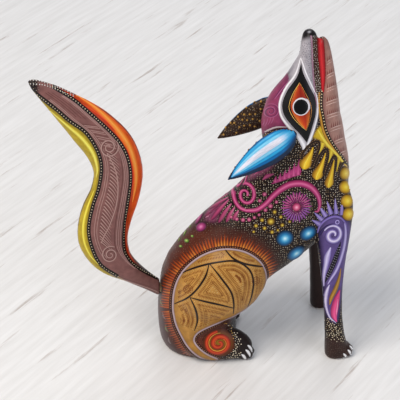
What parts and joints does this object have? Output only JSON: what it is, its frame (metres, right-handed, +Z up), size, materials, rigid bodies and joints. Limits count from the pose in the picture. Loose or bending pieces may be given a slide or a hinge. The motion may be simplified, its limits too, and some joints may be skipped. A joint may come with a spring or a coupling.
{
  "type": "carved animal figure",
  "caption": "Carved and painted wooden coyote sitting and howling, with a push-in tail and ears, standing on its rump and paws.",
  "frame": {"origin": "middle of the underside of the whole figure's box, on the surface it stands on", "axes": "+Z up, +X the way the animal faces, +Y its left side"},
  "size_m": [0.1336, 0.046, 0.1511],
  "materials": {
    "painted_body": "acrylic paint, satin",
    "painted_tail": "acrylic paint, satin",
    "painted_ear": "acrylic paint, satin",
    "bare_wood": "bare copal wood, whittled"
  },
  "bodies": {
    "figure": {"carved_body": "painted_body"},
    "tail": {"tail": "painted_tail", "tail_peg": "bare_wood"},
    "right_ear": {"right_ear": "painted_ear", "right_ear_peg": "bare_wood"},
    "left_ear": {"left_ear": "painted_ear", "left_ear_peg": "bare_wood"}
  },
  "joints": [
    {"name": "tail_pull", "type": "slide", "parent": "figure", "child": "tail", "axis": [-0.7915, 0, 0.6112], "range_m": [0, 0.012]},
    {"name": "right_ear_pull", "type": "slide", "parent": "figure", "child": "right_ear", "axis": [-0.6211, -0.7814, 0.0601], "range_m": [0, 0.007]},
    {"name": "left_ear_pull", "type": "slide", "parent": "figure", "child": "left_ear", "axis": [-0.6211, 0.7814, 0.0601], "range_m": [0, 0.007]}
  ]
}
